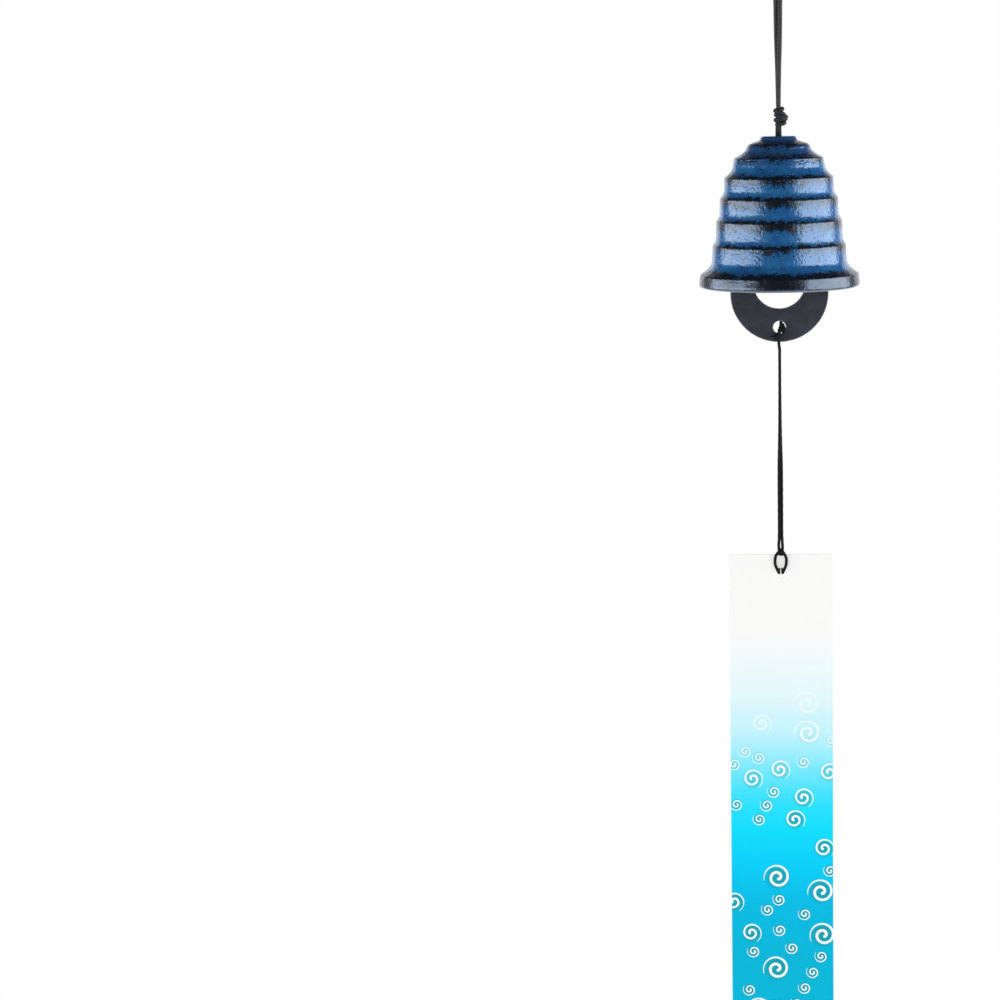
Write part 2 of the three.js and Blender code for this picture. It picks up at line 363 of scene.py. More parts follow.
@dataclass(frozen=True)
class Yarn:
    """One cord stock: its thickness, how its yarns lie, and how finely it is drawn."""

    diameter: float
    lay: CordLay
    repeats: int
    pitch: float
    depth: float
    sides: int
    step: float

    def relief(self, along: float, angle: float, pitch: float) -> float:
        """Height of the yarns over the mean surface, as a share of the radius."""
        swing = FULL_TURN * along / pitch
        wave = math.cos(self.repeats * angle + swing)
        if self.lay is CordLay.BRAIDED:
            wave *= math.cos(self.repeats * angle - swing)
        return self.depth * wave

    def draw(self, shape: Shape, path: list[Vector], closed: bool = False) -> None:
        """Lay a stretch of this cord along a path.

        Args:
            shape: The mesh that takes it.
            path: Evenly spaced points along the cord's middle line.
            closed: Whether the path ends where it starts.
        """
        length = route_length(path)
        pitch = length / max(1, round(length / self.pitch)) if closed else self.pitch
        frames = frames_along(path)
        last = len(path) - 1
        uv = shape.loops.layers.uv.get("lay") or shape.loops.layers.uv.new("lay")
        made = bmesh.ops.create_grid(
            shape, x_segments=last, y_segments=self.sides, size=0.5, calc_uvs=True
        )["verts"]
        faces = {face for vert in made for face in vert.link_faces}
        for face in faces:
            for loop in face.loops:
                loop[uv].uv = ((loop.vert.co.x + 0.5) * length, loop.vert.co.y + 0.5)
        for vert in made:
            index = round((vert.co.x + 0.5) * last)
            angle = (vert.co.y + 0.5) * FULL_TURN
            along = length * index / last
            radius = self.diameter / 2 * (1 + self.relief(along, angle, pitch))
            side, other = frames[index]
            vert.co = path[index] + (side * math.cos(angle) + other * math.sin(angle)) * radius
        bmesh.ops.remove_doubles(shape, verts=made, dist=1e-4)
        if not closed:
            open_edges = [edge for edge in shape.edges if edge.is_boundary]
            bmesh.ops.holes_fill(shape, edges=open_edges, sides=0)

    def route(self, points: Iterable[Point]) -> list[Vector]:
        """Space this cord's rings along a smooth curve through the points."""
        return evenly(catmull_rom(points), self.step)

    def run(self, shape: Shape, *routes: Iterable[Point]) -> None:
        """Lay a strand along each route."""
        for points in routes:
            self.draw(shape, self.route(points))

    def wind(self, shape: Shape, turns: Iterable[Turn]) -> None:
        """Lay the turns of a knot."""
        for turn in turns:
            self.draw(shape, turn.path(self.step), closed=True)


BRAID = Yarn(1.7, CordLay.BRAIDED, repeats=4, pitch=1.5, depth=0.075, sides=32, step=0.14)
KNOT_BRAID = Yarn(1.5, CordLay.BRAIDED, repeats=4, pitch=1.4, depth=0.08, sides=32, step=0.14)
WAXED = Yarn(1.12, CordLay.TWISTED, repeats=3, pitch=3.2, depth=0.05, sides=20, step=0.22)
FRAYED = Yarn(0.5, CordLay.TWISTED, repeats=3, pitch=1.6, depth=0.06, sides=12, step=0.15)


@dataclass(frozen=True)
class FreeCord:
    """A free stretch of cord between two bodies, and the heights between which it bends."""

    name: str
    yarn: Yarn
    material: Material
    points: Route
    node: str
    slot: Slot
    bodies: tuple[str, str]
    bend: Span

    def build(self, on_it: list[Object]) -> None:
        """Args:
            on_it: The pieces that lie on the same cord. Not used.
        """
        path = self.yarn.route(self.points)
        shape = bmesh.new()
        self.yarn.draw(shape, path)
        cord = make_piece(shape, self.name, self.material, self.node)
        start, end = ((0, 0, height * MM) for height in self.bend)
        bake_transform(cord, *self.bodies, start=start, end=end)
        log.info("%s: %.1f mm long", self.name, route_length(path))


# Finishes


class Finish(ABC):
    """A surface finish that can be made into a material."""

    @abstractmethod
    def dress(self, add: Adder) -> dict[str, object]:
        """Add the finish's own nodes.

        Args:
            add: Adds one node to the material.

        Returns:
            The sockets and values that the shader's inputs take, by their names.
        """

    def make(self, name: str) -> Material:
        """Make the material, and return it."""
        material = bpy.data.materials.new(name)
        add = adder(material)
        add("OutputMaterial", add("BsdfPrincipled", at=self.dress(add)))
        return material


@dataclass(frozen=True)
class PaintedCastIron(Finish):
    """Sand-cast iron, lacquered black all over, then dabbed with blue up to each shoulder.

    The sand leaves a fine grain under a satin lacquer. The blue is wiped on from below, so black
    shows along every shoulder and breaks up into specks and short runs where the blue thins out.
    """

    blue: str = "17528c"
    bright_blue: str = "2369a0"
    navy: str = "1f4678"
    black: str = "070a16"
    ground_metal: str = "77787c"
    lining: str = "16171a"
    lacquer_tint: str = "cce3ff"
    index: float = 1.94
    # Moulding sand is about 0.3 mm, too fine to show, so the grit is drawn twice as coarse
    grit: float = 0.6
    dimple: float = 0.9
    run: float = 1.8
    patch: float = 8.0
    pit: float = 1.1
    # How far in millimetres each noise moves the edge of the black, and where that edge fades
    edge_reach: tuple[tuple[str, float], ...] = (("grit", 1.5), ("run", 1.4), ("patch", 0.9))
    edge: Span = (-1.2, 0.9)
    pits: Span = (0.67, 0.71)
    brighter: Span = (0.8, 1.25)
    navy_heights: Span = (-78.0, -69.0)
    gloss: Span = (0.16, 0.28)
    lining_dull: float = 0.35
    black_dull: float = 0.04
    relief: float = 0.13
    grit_share: float = 0.25
    pit_share: float = -0.5
    # The lip was ground, so its relief is lower
    lip_heights: Span = (-118.2, -118.8)
    lip_relief: float = 0.4

    def dress(self, add: Adder) -> dict[str, object]:
        """Mix the blue, the black and the ground edge, and add the casting's grain."""
        place = add("TexCoord", out="Object")
        height = add("SeparateXYZ", place, out="Z")
        fall, inside, ground = (
            add("Attribute", out="Fac", attribute_name=name)
            for name in ("fall", "inside", "ground")
        )
        drawn_down = add("Mapping", at={"Vector": place, "Scale": (1, 1, 0.5)})
        noises = {
            name: add("TexNoise", at={"Vector": vector, "Scale": 1 / (size * MM), "Detail": detail})
            for name, size, detail, vector in (
                ("grit", self.grit, 2.0, place),
                ("dimple", self.dimple, 1.0, place),
                ("run", self.run, 3.0, drawn_down),
                ("patch", self.patch, 2.0, place),
                ("pit", self.pit, 1.0, place),
            )
        }

        edge = add("Math", fall, -1.0, operation="MULTIPLY")
        for name, reach in self.edge_reach:
            swing = add("MapRange", noises[name], *MOST_NOISE, -reach, reach)
            edge = add("Math", edge, swing, operation="ADD")
        bare = add("MapRange", edge, *self.edge, **SMOOTH)
        pits = add("MapRange", noises["pit"], *self.pits)
        black_share = add("Math", bare, pits, operation="MAXIMUM")

        blend = add("Math", noises["run"], noises["patch"], operation="ADD")
        tone = add("MapRange", blend, *self.brighter)
        heights = (value * MM for value in self.navy_heights)
        top_share = add("MapRange", height, *heights, **SMOOTH)
        colour = linear(self.blue)
        for share, code in (
            (tone, self.bright_blue),
            (top_share, self.navy),
            (black_share, self.black),
            (inside, self.lining),
            (ground, self.ground_metal),
        ):
            colour = add("Mix", share, at={6: colour, 7: linear(code)}, **COLOURS)

        rough = add("MapRange", noises["patch"], *ALL_NOISE, *self.gloss)
        for share, more in ((inside, self.lining_dull), (bare, self.black_dull)):
            dull = add("MapRange", share, at={4: more})
            rough = add("Math", rough, dull, operation="ADD")

        relief = noises["dimple"]
        for source, amount in ((noises["grit"], self.grit_share), (pits, self.pit_share)):
            part = add("Math", source, amount, operation="MULTIPLY")
            relief = add("Math", relief, part, operation="ADD")
        heights = (value * MM for value in self.lip_heights)
        depth = add("MapRange", height, *heights, 1.0, self.lip_relief)
        bump = {"Height": relief, "Strength": depth, "Distance": self.relief * MM}
        return {
            "Base Color": colour,
            "Roughness": rough,
            "IOR": self.index,
            "Specular Tint": linear(self.lacquer_tint),
            "Normal": add("Bump", at=bump),
        }


@dataclass(frozen=True)
class BlackenedIron(Finish):
    """Cast iron plate, tumbled and given a thin matt black coat.

    The coat is dull and slightly cloudy, and rubs through to grey along the edges.
    """

    coat: str = "282c35"
    cloud: str = "31363f"
    worn: str = "75777b"
    index: float = 1.38
    gloss: Span = (0.68, 0.85)
    cloud_size: float = 5.0
    clouded: Span = (0.35, 0.65)
    lightened: Span = (0.4, 0.6)
    rub: Span = (0.15, 0.75)
    # The real grain is about 0.3 mm, and is drawn coarser so that it shows
    grain: float = 0.5
    noise_roughness: float = 0.6
    relief: float = 0.05
    relief_strength: float = 0.4

    def dress(self, add: Adder) -> dict[str, object]:
        """Mix the coat's clouds and the worn edges, and add the casting's grain."""
        place = add("TexCoord", out="Object")
        common = {"Vector": place, "Roughness": self.noise_roughness}
        cloud, grain = (
            add("TexNoise", at={**common, "Scale": 1 / (size * MM), "Detail": detail})
            for size, detail in ((self.cloud_size, 5.0), (self.grain, 3.0))
        )
        wear = add("Attribute", out="Fac", attribute_name="wear")
        share = add("MapRange", cloud, *self.clouded)
        rub = add("MapRange", cloud, *self.lightened, *self.rub)
        worn = add("Math", wear, rub, operation="MULTIPLY")
        colour = linear(self.coat)
        for cover, code in ((share, self.cloud), (worn, self.worn)):
            colour = add("Mix", cover, at={6: colour, 7: linear(code)}, **COLOURS)
        bump = {"Height": grain, "Strength": self.relief_strength, "Distance": self.relief * MM}
        return {
            "Base Color": colour,
            "Roughness": add("MapRange", grain, *ALL_NOISE, *self.gloss),
            "IOR": self.index,
            "Normal": add("Bump", at=bump),
        }


@dataclass(frozen=True)
class YarnCord(Finish):
    """Black polyester cord, braided or twisted, with a faint cold sheen on each yarn's crown, partly painted
    into its colour, and painted shade in its grooves.
    """

    yarn: Yarn
    # The crown colour is a painted sheen, and the groove colour a painted shade
    crown: str
    groove_shade: str
    roughness: float = 0.75
    sheen: float = 0.04
    index: float = 1.4
    # Fibres are too fine to show, so six streaks to the millimetre stand for them
    streaks: float = 6.0
    streak_share: float = 0.25
    crowned: Span = (-0.6, 0.9)
    crown_share: Span = (-0.2, 0.9)
    relief: float = 0.04
    relief_strength: float = 0.5

    def dress(self, add: Adder) -> dict[str, object]:
        """Paint a lighter sheen on the crowns of the yarns and a darker shade in the grooves between them.
        """
        uv = add("UVMap", uv_map="lay")
        split = add("SeparateXYZ", uv).node.outputs
        turns = FULL_TURN * self.yarn.repeats
        along = add("Math", split["X"], FULL_TURN / self.yarn.pitch, operation="MULTIPLY")
        around = add("Math", split["Y"], turns, operation="MULTIPLY")
        wave = 1.0
        for way in ("ADD", "SUBTRACT") if self.yarn.lay is CordLay.BRAIDED else ("ADD",):
            angle = add("Math", around, along, operation=way)
            ripple = add("Math", angle, operation="COSINE")
            wave = add("Math", wave, ripple, operation="MULTIPLY")
        raised = add("MapRange", wave, *self.crowned, *self.crown_share)
        fibre = add("TexNoise", at={"Vector": uv, "Scale": self.streaks, "Detail": 3.0})
        mixed = add("MapRange", fibre, *MOST_NOISE, -self.streak_share, self.streak_share)
        share = add("Math", raised, mixed, operation="ADD", use_clamp=True)
        # Painted shade in the grooves and painted sheen on the crowns
        shades = {6: linear(self.groove_shade), 7: linear(self.crown)}
        bump = {"Height": share, "Strength": self.relief_strength, "Distance": self.relief * MM}
        return {
            "Base Color": add("Mix", share, at=shades, **COLOURS),
            "Roughness": self.roughness,
            "Sheen Weight": self.sheen,
            "IOR": self.index,
            "Normal": add("Bump", at=bump),
        }


@dataclass(frozen=True)
class PrintedPaper(Finish):
    """Stiff uncoated card, printed with a wash from white to cyan and white spirals on it.

    The card is matt with a faint tooth, and the ink sinks in without gloss. Drops are in
    millimetres below the strip's top. A spiral's widths are shares of the gap between its turns.
    """

    roughness: float = 0.8
    index: float = 1.2
    turns: float = 2.0
    first_turn: float = 0.16
    inner_stroke: float = 0.28
    outer_stroke: float = 0.17
    taper: float = 0.45
    taper_to: float = 0.3
    ink_edge: float = 4.0
    begin_ease: float = 0.05
    end_ease: float = 0.06
    heart: Span = (1.0, 0.6)
    heart_shade: float = 0.8
    # Where down the wash the shade and the ink come in, as shares of its depth
    shade_drops: Span = (0.42, 0.66)
    ink_drops: Span = (0.33, 0.5)
    ink_cover: Span = (0.55, 0.97)
    # Paper fibres are about 0.1 mm, and the tooth is drawn coarser so that it shows
    tooth: float = 0.35
    relief: float = 0.02
    relief_strength: float = 0.25
    ink_white: str = "f4feff"
    shade: str = "169ca4"
    wash: tuple[tuple[float, str], ...] = (
        (29.0, "fbfbfb"),
        (39.0, "f4fcfd"),
        (54.0, "e5fafe"),
        (69.0, "c4f5ff"),
        (84.0, "76ebff"),
        (92.0, "48e5ff"),
        (99.0, "26e2ff"),
        (107.0, "0cdfff"),
        (122.0, "00cffa"),
        (137.0, "00bde6"),
        (159.0, "00b8db"),
    )

    def dress(self, add: Adder) -> dict[str, object]:
        """Draw the wash by height and one spiral round the origin of each cell of the UV map."""
        place = add("TexCoord", out="Object")
        height = add("SeparateXYZ", place, out="Z")
        deepest = self.wash[-1][0]
        drop = add("MapRange", height, STRIP_TOP * MM, (STRIP_TOP - deepest) * MM)
        wash = add("ValToRGB", drop)
        stops = wash.node.color_ramp.elements
        stops.remove(stops[1])
        stops[0].color = linear(self.wash[0][1])
        for depth, code in self.wash:
            stops.new(depth / deepest).color = linear(code)

        split = add("SeparateXYZ", add("UVMap", uv_map="spirals")).node.outputs
        across, up = split["X"], split["Y"]
        angle = add("Math", up, across, operation="ARCTAN2")
        theta = add("Math", angle, 1 / FULL_TURN, operation="MULTIPLY")
        flat = add("CombineXYZ", across, up)
        radius = add("VectorMath", flat, out="Value", operation="LENGTH")
        wound = add("Math", radius, self.turns, operation="MULTIPLY")
        apart = add("Math", wound, theta, operation="SUBTRACT")
        whole = add("Math", apart, operation="ROUND")
        off_line = add("Math", apart, whole, operation="SUBTRACT")
        distance = add("Math", off_line, operation="ABSOLUTE")
        nearest = add("Math", whole, theta, operation="ADD")

        first, last = self.first_turn, self.turns
        body = add("MapRange", nearest, first, last, self.inner_stroke, self.outer_stroke)
        tail = add("MapRange", nearest, last - self.taper, last, 1.0, self.taper_to)
        begun = add("MapRange", nearest, first, first + self.begin_ease)
        ended = add("MapRange", nearest, last, last - self.end_ease)
        stroke = add("Math", body, tail, operation="MULTIPLY")
        line = add("MapRange", distance, stroke, 0.0, 0.0, self.ink_edge)
        within = add("Math", begun, ended, operation="MULTIPLY")
        ink = add("Math", line, within, operation="MULTIPLY", use_clamp=True)

        heart = add("MapRange", radius, *self.heart, 0.0, self.heart_shade)
        shaded = add("Mix", heart, at={6: wash, 7: linear(self.shade)}, **COLOURS)
        shown = add("MapRange", drop, *self.shade_drops)
        ground = add("Mix", shown, at={6: wash, 7: shaded}, **COLOURS)
        strength = add("MapRange", drop, *self.ink_drops, *self.ink_cover)
        cover = add("Math", ink, strength, operation="MULTIPLY")
        printed = {6: ground, 7: linear(self.ink_white)}
        tooth = add("TexNoise", at={"Vector": place, "Scale": 1 / (self.tooth * MM), "Detail": 2.0})
        bump = {"Height": tooth, "Strength": self.relief_strength, "Distance": self.relief * MM}
        return {
            "Base Color": add("Mix", cover, at=printed, **COLOURS),
            "Roughness": self.roughness,
            "IOR": self.index,
            "Normal": add("Bump", at=bump),
        }


# Studio


@dataclass(frozen=True)
class SoftBox:
    """A soft light beside the object, turned to its plumb line. Lengths are in metres.

    The azimuth is in degrees from the viewer's side, positive to the right. The radiance says
    how bright its face is, where white paper is 1.
    """

    name: str
    azimuth: float
    width: float
    top: float
    radiance: float
    foot: float = -0.55
    distance: float = 0.95
    tint: Point = (1.0, 0.995, 0.99)

    def build(self) -> None:
        """Stand the light in its place."""
        height = self.top - self.foot
        lamp = bpy.data.lights.new(self.name, "AREA")
        lamp.shape = "RECTANGLE"
        lamp.size = self.width
        lamp.size_y = height
        lamp.energy = self.radiance * math.pi * self.width * height
        lamp.color = self.tint
        angle = math.radians(self.azimuth)
        middle = Vector((0, 0, (self.top + self.foot) / 2))
        place = middle + Vector((math.sin(angle), -math.cos(angle), 0)) * self.distance
        facing = (middle - place).to_track_quat("-Z", "Y")
        light = add_object(self.name, lamp)
        light.matrix_world = Matrix.Translation(place) @ facing.to_matrix().to_4x4()
        light.visible_camera = False


@dataclass
class Studio:
    """The camera, the soft lights, the white surroundings and the floor far below."""

    image_size: int = 1000
    bell_top_pixel: tuple[float, float] = (778.5, 136.0)
    lean: float = 0.3
    camera_rise: float = 35.0
    distance: float = 1150.0
    scale: float = 2.66
    sensor: float = 36.0
    nearest: float = 0.01
    floor_height: float = -0.95
    floor_radius: float = 1.3
    floor_segments: int = 96
    floor_colour: str = "f3f3f3"
    fade: Span = (0.35, 0.95)
    fill: float = 0.165
    dim_room: float = 0.04
    backdrop: float = 1.5
    backdrop_way: Span = (0.7, 0.82)
    backdrop_rise: Span = (0.5, 0.2)
    lights: tuple[SoftBox, ...] = (
        SoftBox("left_softbox", azimuth=-75, width=1.54, top=0.05, radiance=4.1),
        SoftBox("right_softbox", azimuth=77, width=1.59, top=0.25, radiance=4.35),
    )

    def build(self) -> None:
        """Make the whole studio."""
        self.make_camera()
        self.make_world()
        self.make_floor()
        for light in self.lights:
            light.build()
        bpy.context.scene.view_settings.view_transform = "Standard"

    def make_camera(self) -> None:
        """Stand the camera a little over the bell's top, turned so that it lands on its pixel.

        The camera isn't quite level: the plumb line through the bell leans by the lean's degrees.
        """
        focal = self.scale * self.distance
        right = self.bell_top_pixel[0] - self.image_size / 2
        up = self.image_size / 2 - self.bell_top_pixel[1]
        ahead = Vector((right, up, -focal)).normalized()
        upright = Vector((focal, 0, right)).normalized()
        across = Matrix.Rotation(-math.radians(self.lean), 3, ahead) @ upright
        in_camera = Matrix((across, ahead, across.cross(ahead)))
        sideways = Vector((1, 0, 0))
        towards = Vector((0, self.distance, -self.camera_rise)).normalized()
        in_world = Matrix((sideways, towards, sideways.cross(towards))).transposed()
        turned = (in_world @ in_camera).to_4x4()
        lens = bpy.data.cameras.new("camera")
        lens.lens = focal * self.sensor / self.image_size
        lens.sensor_width = self.sensor
        lens.clip_start = self.nearest
        camera = add_object("camera", lens)
        place = Vector((0, -self.distance, BELL_TOP + self.camera_rise)) * MM
        camera.matrix_world = Matrix.Translation(place) @ turned
        bpy.context.scene.camera = camera

    def make_world(self) -> None:
        """Surround the object with white for the camera and a white backdrop for reflections."""
        world = bpy.data.worlds.new("surroundings")
        bpy.context.scene.world = world
        add = adder(world)
        seen = add("LightPath").node.outputs
        rays = seen["Is Glossy Ray"], seen["Is Transmission Ray"]
        mirror = add("Math", *rays, operation="MAXIMUM")
        way = add("SeparateXYZ", add("TexCoord", out="Generated")).node.outputs
        behind, low = (
            add("MapRange", way[axis], *span, **SMOOTH)
            for axis, span in (("Y", self.backdrop_way), ("Z", self.backdrop_rise))
        )
        share = add("Math", behind, low, operation="MULTIPLY")
        backdrop = add("MapRange", share, at={3: self.dim_room, 4: self.backdrop})
        reflected = add("Mix", mirror, at={2: self.fill, 3: backdrop}, data_type="FLOAT")
        shown = {2: reflected, 3: 1.0}
        strength = add("Mix", seen["Is Camera Ray"], at=shown, data_type="FLOAT")
        add("OutputWorld", add("Background", (1, 1, 1, 1), strength))

    def make_floor(self) -> None:
        """Lay a pale round floor that fades into the white around it."""
        material = bpy.data.materials.new("pale_floor")
        add = adder(material)
        place = add("TexCoord", out="Object")
        level = add("VectorMath", place, (1, 1, 0), operation="MULTIPLY")
        reach = add("VectorMath", level, out="Value", operation="LENGTH")
        edges = (share * self.floor_radius for share in self.fade)
        fade = add("MapRange", reach, *edges, **SMOOTH)
        matt = add("BsdfDiffuse", linear(self.floor_colour))
        white = add("Emission", (1, 1, 1, 1), 1.0)
        add("OutputMaterial", add("MixShader", fade, matt, white))
        shape = bmesh.new()
        bmesh.ops.create_circle(
            shape, cap_ends=True, segments=self.floor_segments, radius=self.floor_radius
        )
        bmesh.ops.translate(shape, vec=(0, 0, self.floor_height), verts=shape.verts[:])
        to_object(shape, "floor", material)


# The hanging cord and its knots


@dataclass
class Hanger:
    """The doubled braided cord: its loop, the knot over the bell, the neck and the stop knot."""

    braid: Material
    # The loop's braid, painted lighter as a painted highlight
    lightened: Material
    side: Route = (
        (0, 0.88, -56.15), (-0.08, 0.88, -51), (-0.18, 0.86, -46), (-0.32, 0.81, -40),
        (-0.5, 0.71, -34.5), (-0.63, 0.6, -29), (-0.72, 0.48, -23), (-0.85, 0.3, -17),
        (-1.55, 0.08, -12), (-2.45, 0, -8), (-3.15, 0, -5.2), (-3.45, 0, -2.6),
        (-2.44, 0, -0.16),
    )
    top: Point = (0, 0, 0.85)
    bend: Span = (-46.0, -58.0)
    knot_turns: tuple[Turn, ...] = (
        Turn((0.15, 0, -57.35), 1.4, lean=-14, roll=8),
        Turn((0.55, 0, -58.5), 1.65, lean=24, roll=-10),
        Turn((0.95, 0, -59.6), 1.95, lean=12, roll=6),
        Turn((0.8, 0, -60.9), 1.9, lean=-6, roll=-8),
        Turn((0.85, 0, -62.4), 1.4, lean=-12, roll=10),
    )
    knot_strand: Route = ((0, -0.85, -55.6), (0.1, -0.7, -59), (0.1, -0.6, -63.2))
    neck_heights: Span = (-61.0, -70.9)
    neck_reach: float = 0.55
    neck_start: float = 0.7 * math.pi
    neck_turns: float = 0.04
    neck_steps: int = 24
    stop_turns: tuple[Turn, ...] = (
        Turn((0, 0, -72.11), 2.15, lean=4),
        Turn((0, 0, -73.61), 2.2, lean=4),
        Turn((0, 0, -75.06), 1.65, lean=4),
    )
    stop_strand: Route = ((0, -0.7, -71.41), (0, -0.75, -76.41))

    def build(self) -> None:
        """Make the four pieces and fasten them to the frame."""
        on_it = [self.make_knot(), self.make_neck()]
        points = (*self.side, self.top, *flipped(reversed(self.side), -1, -1))
        FreeCord(
            "hanger_cord", BRAID, self.lightened, points, "hanger_loop", Slot.BRAID,
            bodies=("hanger", "neck"), bend=self.bend,
        ).build(on_it)
        self.make_stop_knot()

    def make_knot(self) -> Object:
        """Wind the knot's turns round the two strands."""
        shape = bmesh.new()
        KNOT_BRAID.wind(shape, self.knot_turns)
        KNOT_BRAID.run(shape, self.knot_strand, flipped(self.knot_strand, 1, -1))
        return make_piece(shape, "hanger_knot_cord", self.braid, "hanger_knot", "neck")

    def make_neck(self) -> Object:
        """Twist the two strands down through the bell's crown."""
        shape = bmesh.new()
        top, foot = self.neck_heights
        for start in (self.neck_start, self.neck_start + math.pi):
            points = []
            for step in range(self.neck_steps + 1):
                share = step / self.neck_steps
                angle = start + share * self.neck_turns * FULL_TURN
                points.append((
                    self.neck_reach * math.cos(angle),
                    self.neck_reach * math.sin(angle),
                    top + (foot - top) * share,
                ))
            KNOT_BRAID.run(shape, points)
        return make_piece(shape, "neck_strands", self.braid, "hanger_neck", "neck")

    def make_stop_knot(self) -> None:
        """Wind the knot that the bell hangs on."""
        shape = bmesh.new()
        BRAID.wind(shape, self.stop_turns)
        BRAID.run(shape, self.stop_strand, flipped(self.stop_strand, 1, -1))
        make_piece(shape, "stop_knot_cord", self.braid, "stop_knot", "neck")


# The bell


@dataclass(frozen=True)
class Tier:
    """One step of the bell: its shoulder, the band and cove under it, and its black.

    Black runs down from the shoulder and up as a line over it. Its cover says how far from blue
    it is at its deepest, and a thin cover lets blue through.
    """

    drop: float
    radius: float
    widen: float
    band: float
    black: float
    line: float = 1.0
    cover: float = FAR


@dataclass
class Bell:
    """The cast bell, turned from one profile and roughened as sand leaves it.

    Drops are in millimetres below its top. The last tier is the lip.
    """

    paint: Material
    height: float = 56.1
    cap_radius: float = 6.7
    cap_foot_radius: float = 7.1
    cap_foot_drop: float = 1.5
    cap_edge: float = 0.5
    cap_dip: float = 0.1
    rim_radius: float = 30.0
    rim_edge: float = 1.2
    rim_bulge: float = 0.5
    mouth_radius: float = 27.0
    wall: float = 3.2
    crown: float = 4.0
    crown_hole_radius: float = 2.4
    cove_ease: float = 1.9
    cove_steps: int = 14
    edge_steps: int = 6
    line_cut: float = 2.0
    ground_width: float = 0.9
    ground_ease: float = 0.6
    inner_lag: float = 0.45
    shoulder_round: float = 0.4
    segments: int = 384
    outer_step: float = 0.38
    inner_step: float = 1.6
    # Size and depth of each layer of unevenness, and how much of it the inside has
    unevenness: tuple[Span, ...] = ((14.0, 0.12), (3.2, 0.05), (1.3, 0.045))
    inside_share: float = 0.5
    tiers: tuple[Tier, ...] = (
        Tier(2.9, 11.4, 0.4, 0.2, 0.2, line=0.35),
        Tier(7.9, 16.6, 0.5, 0.35, 1.1),
        Tier(15.1, 20.3, 0.2, 0.56, 2.0),
        Tier(22.9, 22.0, 0.15, 0.6, 2.6),
        Tier(31.4, 23.4, 0.25, 0.66, 2.5),
        Tier(40.5, 24.85, 0.35, 0.52, 1.3),
        Tier(51.2, 29.6, 0.0, 1.0, 4.8, line=1.5, cover=2.2),
    )

    def build(self) -> None:
        """Make the casting and fasten it to the frame."""
        shape = bmesh.new()
        self.turn_profile(shape)
        self.roughen(shape)
        make_piece(shape, "bell_casting", self.paint, "bell", "bell", sharp=75.0)

    def outer_outline(self) -> list[Span]:
        """Radius and drop along the outside, from the crown's hole to the mouth."""
        first = self.tiers[0]
        outline = [
            (self.crown_hole_radius, 0.0),
            (self.cap_radius - self.cap_edge, 0.0),
            (self.cap_radius, self.cap_edge),
            (self.cap_foot_radius, self.cap_foot_drop),
            (first.radius - self.cap_edge, first.drop - self.cap_dip),
        ]
        for tier, following in zip(self.tiers, self.tiers[1:]):
            band_end = tier.drop + (following.drop - tier.drop) * tier.band
            band_radius = tier.radius + tier.widen
            outline.append((tier.radius, tier.drop + self.shoulder_round))
            outline.append((band_radius, band_end))
            for step in range(1, self.cove_steps + 1):
                share = step / self.cove_steps
                radius = band_radius + (following.radius - band_radius) * share ** self.cove_ease
                outline.append((radius, band_end + (following.drop - band_end) * share))
        outline.append((self.rim_radius, self.height - self.rim_edge - self.rim_bulge))
        for step in range(self.edge_steps + 1):
            angle = math.pi / 2 * step / self.edge_steps
            outline.append((
                self.rim_radius - self.rim_edge * (1 - math.cos(angle)),
                self.height - self.rim_edge * (1 - math.sin(angle)),
            ))
        outline.append((self.mouth_radius, self.height))
        return outline

    def inner_outline(self) -> list[Span]:
        """Radius and drop along the inside, from the mouth up to the crown's hole."""
        outline = [(self.mouth_radius, self.height)]
        for tier, following in reversed(list(zip(self.tiers[1:], self.tiers[2:]))):
            drop = tier.drop + (following.drop - tier.drop) * self.inner_lag
            outline.append((tier.radius - self.wall, drop))
        outline.append((self.tiers[0].radius - self.wall, self.crown))
        outline.append((self.crown_hole_radius, self.crown))
        outline.append((self.crown_hole_radius, 0.0))
        return outline

    def below_black(self, drop: float) -> float:
        """Distance outside the nearest run of black, less than zero in it.

        The blue ends crisply a little above each shoulder, so distances count for more there.
        """
        nearest = FAR
        for tier in self.tiers:
            above = (tier.drop - tier.line - drop) * self.line_cut
            below = drop - tier.drop - tier.black
            if drop > tier.drop + self.shoulder_round:
                below = max(below, -tier.cover)
            nearest = min(nearest, max(above, below))
        return nearest

    def turn_profile(self, shape: Shape) -> None:
        """Draw the closed profile and spin it round the bell's axis.

        Args:
            shape: The empty mesh that takes it.
        """
        fall, inside, ground = (
            shape.verts.layers.float.new(name) for name in ("fall", "inside", "ground")
        )
        outer = evenly([Vector((r, 0, d)) for r, d in self.outer_outline()], self.outer_step)
        inner = evenly([Vector((r, 0, d)) for r, d in self.inner_outline()], self.inner_step)
        ring = []
        for index, point in enumerate([*outer[:-1], *inner[:-1]]):
            vert = shape.verts.new((point.x, 0, BELL_TOP - point.z))
            vert[fall] = self.below_black(point.z)
            if index < len(outer) - 1:
                past = point.z - self.height + self.ground_width
                vert[ground] = smoothstep(past / self.ground_ease)
            else:
                vert[inside] = 1.0
            ring.append(vert)
        for start, end in zip(ring, [*ring[1:], ring[0]]):
            shape.edges.new((start, end))
        bmesh.ops.spin(
            shape,
            geom=shape.verts[:] + shape.edges[:],
            cent=(0, 0, 0),
            axis=(0, 0, 1),
            dvec=(0, 0, 0),
            angle=FULL_TURN,
            steps=self.segments,
            use_merge=True,
            use_normal_flip=False,
            use_duplicate=False,
        )
        bmesh.ops.remove_doubles(shape, verts=shape.verts[:], dist=1e-5)
        bmesh.ops.recalc_face_normals(shape, faces=shape.faces[:])

